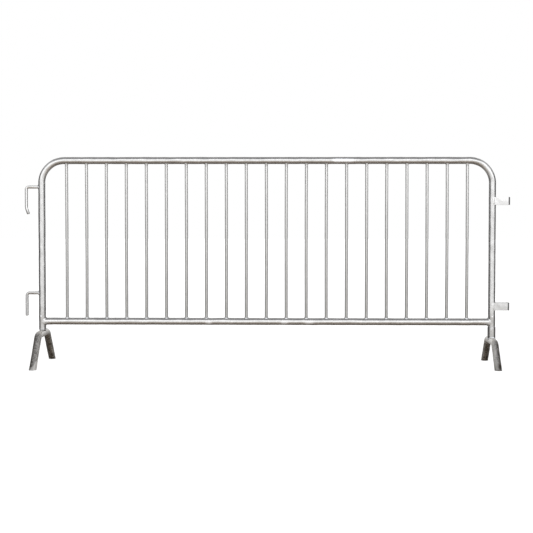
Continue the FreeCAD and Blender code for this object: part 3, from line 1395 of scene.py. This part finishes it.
@dataclass
class Foot:
    """An arched foot with the tube that stands on its crown.

    Attributes:
        side: left or right, which is also its body's name before _foot.
        post_x: its post's axis.
        wall: wall thickness of the arch.
        spigot_wall: wall thickness of the spigot.
        collar_wall: wall thickness of the collar.
        crown_half: from the post's axis to where the crown's and a leg's centrelines cross.
        bend_radius: centreline radius of the arch's bends.
        leg_angle: angle between a leg and the vertical, in degrees.
        open_bead: width of the weld round a collar, which is wider than the crown.
        hidden_bead: width of the weld round a spigot, which has to clear the post's bore.
        bright_tip: whether the front leg's end has a patch of bright zinc on it.
        inner_highlight: strength of the painted highlight on the front leg's side that faces the other
            foot, 0 to 1.
        crown_dirt: how dirty the crown is, 0 to 1.
        seed: picks its unevenness.
    """

    side: str
    post_x: float
    wall: float = 2.0 * MM
    spigot_wall: float = 3.0 * MM
    collar_wall: float = 3.2 * MM
    crown_half: float = 118 * MM
    bend_radius: float = 60 * MM
    leg_angle: float = 43.4
    open_bead: float = 5 * MM
    hidden_bead: float = 0.45 * MM
    bright_tip: bool = False
    inner_highlight: float = 0.0
    crown_dirt: float = 0.0
    seed: int = 50

    @property
    def body(self) -> str:
        """The moving body's name."""
        return self.side + "_foot"

    def tube_size(self) -> Pair:
        """The arch's tube, from the frame.

        Returns:
            The tube's radius and the height of the crown's axis.
        """
        low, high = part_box(self.body)
        radius = (high.x - low.x) / 2
        return radius, high.z - radius

    def outward(self, points: Array, radius: float) -> Array:
        """How far each point lies to the barrier's outside, from -1 on a tube's inner line to 1."""
        return (points[:, 0] - self.post_x) / radius * math.copysign(1.0, self.post_x)

    def arch(self) -> None:
        """The bent tube: a leg, the crown, a leg, with both ends cut level with the ground."""
        radius, crown_z = self.tube_size()
        reach = self.crown_half + crown_z * math.tan(math.radians(self.leg_angle))
        x = self.post_x
        corners = [
            (x, -reach, 0), (x, -self.crown_half, crown_z), (x, self.crown_half, crown_z), (x, reach, 0)
        ]
        line = Centreline.through(corners, self.bend_radius, 6 * MM, X_AXIS)
        level = End(Cut.LEVEL)
        stock = RoundStock(
            line, radius, sides=48, seed=self.seed, unevenness=0.22 * MM, flattening=0.05,
            start=level, end=level, trim=3 * radius,
        )
        tube = stock.tube(self.wall)
        self.weather_and_light(tube)
        place(tube, self.side + "_foot_arch", self.body, Zinc.FOOT, [self.body])

    def weather_and_light(self, tube: Surface) -> None:
        """Darker near the ground, painted shade on the outer side, dirt on the crown, and bright zinc and
        painted highlights on the front.

        Painted highlights lie on the front bend and on the inner side, and, where the tip is bright,
        bright zinc lies on a patch at the front leg's end that slants across it.

        Args:
            tube: the arch, whose dirt, painted shade, fresh zinc and painted highlights are set.
        """
        radius, crown_z = self.tube_size()
        points, x, top = tube.points, self.post_x, crown_z + radius
        away = self.outward(points, radius)
        front = points[:, 1] < 0
        near_ground = np.clip(0.35 * (1 - points[:, 2] / (50 * MM)), 0, 1)
        crown = self.crown_dirt * near(points, (x, 0, top), 75 * MM)
        # Darker near the ground, painted shade on the outer side, and dirt on the crown.
        tube.dirt_and_shade = near_ground + 1.1 * np.clip(away + 0.2, 0, 0.68) + crown
        # A painted highlight on the front bend, weaker on the outer side and where the crown is dirty.
        bends = [(x, way * self.crown_half, top) for way in (-1.0, -0.5)]
        tube.fresh_and_highlight = 0.74 * near(points, bends, 40 * MM) * np.clip(1.2 - away, 0, 1) * (1 - crown)
        # A painted highlight on the front leg's inner side.
        tube.fresh_and_highlight = np.maximum(tube.fresh_and_highlight, self.inner_highlight * np.clip(1 - away, 0, 1) * front)
        if self.bright_tip:
            tall, slant = 35 * MM, 20 * MM
            patch = np.clip(1.1 - points[:, 2] / tall + (points[:, 0] - x) / slant, 0, 1) * front
            tube.fresh_and_highlight = np.maximum(tube.fresh_and_highlight, patch)
            tube.dirt_and_shade = tube.dirt_and_shade * (1 - tube.fresh_and_highlight)

    def upright(self, node: str, wall: float, zinc: Zinc) -> None:
        """A short tube that stands on the crown, coped to it, and the bead round its root.

        Args:
            node: the frame's node that it stands for.
            wall: its wall thickness.
            zinc: its finish.
        """
        low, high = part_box(node)
        crown_radius, crown_z = self.tube_size()
        radius = (high.x - low.x) / 2
        x = self.post_x
        line = Centreline.straight((x, 0, crown_z), (x, 0, high.z), 4 * MM)
        least = max(low.z - crown_z, 0.0)
        coped = End(Cut.COPED, crown_radius, tuple(Y_AXIS), least)
        stock = RoundStock(
            line, radius, sides=48, seed=self.seed + 3, unevenness=0.1 * MM, start=coped,
            trim=2 * crown_radius,
        )
        tube = stock.tube(wall)
        # A painted highlight on the front of the top rim.
        tube.fresh_and_highlight = 0.6 * near(tube.points, (x, -radius, high.z), 20 * MM)
        # Dirt all over, and painted shade on the outer side.
        tube.dirt_and_shade = 0.36 + 0.55 * np.clip(self.outward(tube.points, radius), 0, 1) ** 2
        place(tube, node + "_tube", self.body, zinc, [node])
        seam = Seam.branch(
            np.array([x, 0, crown_z]), Z_AXIS, radius, crown_radius, Y_AXIS, 120, least=least
        )
        bead = self.open_bead if radius > crown_radius else self.hidden_bead
        place(seam.weld(bead, self.seed + 5), node + "_weld", self.body, zinc)

    def build(self) -> None:
        """Makes the foot's pieces."""
        self.arch()
        self.upright(self.side + "_foot_spigot", self.spigot_wall, Zinc.FOOT)
        collar = self.side + "_foot_collar"
        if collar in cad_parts:
            self.upright(collar, self.collar_wall, Zinc.FRAME)


# ---------------------------------------------------------------- the studio


@dataclass
class Studio:
    """A pale floor, a soft sky and the camera.

    Attributes:
        floor_half: half the floor's width.
        camera_place: where the camera stands.
        camera_turn: its turn to the left, its tilt upwards and its roll, in degrees.
        lens: its focal length on a 36 mm sensor.
        sky_peak: brightness that no part of the sky goes over.
        front_left: turns from straight in front over which the front window fades in, in degrees.
        front_right: turns over which it fades out again.
        rear_edge: turns, to either side, over which the rear window fades in.
    """

    floor_half: float = 40.0
    camera_place: Triple = (0.1363, -6.9242, 0.7907)
    camera_turn: Triple = (1.132, -2.188, -0.025)
    lens: float = 87.62
    sky_peak: float = 2.0
    front_left: Pair = (-68.0, -46.0)
    front_right: Pair = (52.0, 80.0)
    rear_edge: Pair = (132.0, 154.0)

    def floor(self) -> None:
        """A wide, flat sheet at ground level, which the steel doesn't mirror."""
        count = 9
        steps = np.linspace(-self.floor_half, self.floor_half, count)
        x, y = np.meshgrid(steps, steps, indexing="ij")
        points = np.stack([x, y, np.zeros_like(x)], -1).reshape(-1, 3)
        first = np.arange(count * (count - 1)).reshape(-1, count)[:, :-1].ravel()
        faces = np.stack([first, first + count, first + count + 1, first + 1], 1)
        mesh = bpy.data.meshes.new("floor")
        mesh.from_pydata(points, [], faces.tolist())
        floor = bpy.data.objects.new("floor", mesh)
        bpy.context.scene.collection.objects.link(floor)
        floor.visible_glossy = False
        material = bpy.data.materials.new("pale_floor")
        material.use_nodes = True
        shader = material.node_tree.nodes["Principled BSDF"]
        shader.inputs["Base Color"].default_value = (0.86, 0.86, 0.86, 1)
        shader.inputs["Roughness"].default_value = 0.9
        shader.inputs["Specular IOR Level"].default_value = 0.0
        shader.inputs["Emission Color"].default_value = (1, 1, 1, 1)
        shader.inputs["Emission Strength"].default_value = 0.62
        mesh.materials.append(material)

    def sky(self) -> None:
        """A soft studio sky, by height and by turn from straight in front, which is at 0.

        A wide bright window stands in front, from just under eye level to half way up, and a weaker one
        behind. Between them, on both sides, it is dim at eye level and grey above. Overhead it is grey
        all round, and underneath it is brown.
        """
        world = bpy.data.worlds.new("soft_sky")
        bpy.context.scene.world = world
        world.use_nodes = True
        world.node_tree.nodes.clear()
        kit = NodeKit(world.node_tree)
        way = kit.add("ShaderNodeSeparateXYZ")
        kit.link(kit.add("ShaderNodeTexCoord").outputs["Generated"], way.inputs["Vector"])
        height = way.outputs["Z"]
        turn = kit.scalar("ARCTAN2", way.outputs["X"], kit.scalar("MULTIPLY", way.outputs["Y"], -1.0))
        overhead = (1.0, (0.28, 0.28, 0.29))
        window = self._ramp(kit, height, (
            (-1.0, (0.088, 0.060, 0.036)), (-0.90, (0.19, 0.142, 0.102)), (-0.52, (0.62, 0.54, 0.46)),
            (-0.20, (1.02, 1.01, 0.99)), (0.0, 1.22), (0.14, 1.98), (0.42, 1.98), (0.66, 0.90),
            (0.84, (0.33, 0.33, 0.34)), overhead,
        ))
        flank = self._ramp(kit, height, (
            (-1.0, (0.080, 0.054, 0.032)), (-0.86, (0.10, 0.075, 0.05)), (-0.60, (0.32, 0.30, 0.28)),
            (-0.12, (0.06, 0.057, 0.054)), (0.08, 0.06), (0.30, 0.16), (0.42, 0.36),
            (0.55, (0.50, 0.50, 0.51)), (0.70, (0.52, 0.52, 0.53)), (0.86, (0.40, 0.40, 0.41)), overhead,
        ))
        rear = self._ramp(kit, height, (
            (-1.0, (0.088, 0.060, 0.036)), (-0.50, (0.20, 0.18, 0.16)), (-0.10, (0.60, 0.59, 0.58)),
            (0.05, 0.95), (0.35, 1.35), (0.70, (0.50, 0.48, 0.445)), overhead,
        ))
        left = self._fade(kit, turn, self.front_left, (0.0, 1.0))
        right = self._fade(kit, turn, self.front_right, (1.0, 0.0))
        behind = self._fade(kit, kit.scalar("ABSOLUTE", turn, 0.0), self.rear_edge, (0.0, 1.0))
        glow = kit.blend(behind, flank, rear)
        glow = kit.blend(kit.scalar("MULTIPLY", left, right), glow, window)
        lit = kit.add("ShaderNodeBackground")
        lit.inputs["Strength"].default_value = self.sky_peak
        kit.link(glow, lit.inputs["Color"])
        seen = kit.add("ShaderNodeBackground")
        seen.inputs["Color"].default_value = (1, 1, 1, 1)
        mix = kit.add("ShaderNodeMixShader")
        kit.link(kit.add("ShaderNodeLightPath").outputs["Is Camera Ray"], mix.inputs["Fac"])
        kit.link(lit.outputs["Background"], mix.inputs[1])
        kit.link(seen.outputs["Background"], mix.inputs[2])
        kit.link(mix.outputs["Shader"], kit.add("ShaderNodeOutputWorld").inputs["Surface"])

    def _fade(self, kit: NodeKit, turn: Socket, degrees: Pair, share: Pair) -> Socket:
        """A share that goes from one value to the other between two turns."""
        return kit.ranged(turn, (math.radians(degrees[0]), math.radians(degrees[1])), share)

    def _ramp(self, kit: NodeKit, height: Socket, stops: Sequence[tuple[float, object]]) -> Socket:
        """A colour for each height of the sky, from straight down at -1 to straight up at 1.

        Args:
            kit: where the nodes go.
            height: the direction's Z, from -1 to 1.
            stops: heights and their colours, as multiples of plain white; a grey is one number.

        Returns:
            The colour.
        """
        node = kit.add("ShaderNodeValToRGB")
        kit.link(kit.ranged(height, (-1.0, 1.0), (0.0, 1.0)), node.inputs["Fac"])
        elements = node.color_ramp.elements
        while len(elements) < len(stops):
            elements.new(0.5)
        for element, (position, colour) in zip(elements, stops):
            parts = np.broadcast_to(colour, 3) / self.sky_peak
            element.position = (position + 1) / 2
            element.color = (*parts, 1)
        return node.outputs["Color"]

    def camera(self) -> None:
        """The camera: level but for a small tilt, standing a little right of the barrier's middle."""
        data = bpy.data.cameras.new("camera")
        data.lens = self.lens
        data.sensor_width = 36.0
        camera = bpy.data.objects.new("camera", data)
        bpy.context.scene.collection.objects.link(camera)
        turn, tilt, roll = (math.radians(a) for a in self.camera_turn)
        camera.location = self.camera_place
        camera.rotation_euler = (math.pi / 2 + tilt, roll, turn)
        bpy.context.scene.camera = camera

    def build(self) -> None:
        """Makes the floor, the sky and the camera, and picks plain colour rendering."""
        self.floor()
        self.sky()
        self.camera()
        bpy.context.scene.view_settings.view_transform = "Standard"


def main() -> None:
    """Builds the barrier's pieces, then the studio."""
    logging.basicConfig(level=logging.INFO, format="%(name)s: %(message)s")
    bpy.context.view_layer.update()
    layout = Layout.read()
    Frame(layout).build()
    Infill(layout).build()
    Hook(layout, "upper_hook", lean_length=33 * MM, lean=11 * MM).build()
    Hook(layout, "lower_hook", weathering=0.32).build()
    Loop(layout, "upper_loop", weathering=0.05).build()
    Loop(layout, "lower_loop", weathering=0.26).build()
    Foot("left", layout.left_x, bright_tip=True, inner_highlight=0.45, crown_dirt=0.4, seed=50).build()
    Foot("right", layout.right_x, inner_highlight=0.58, seed=60).build()
    Studio().build()


if __name__ == "__main__":
    main()
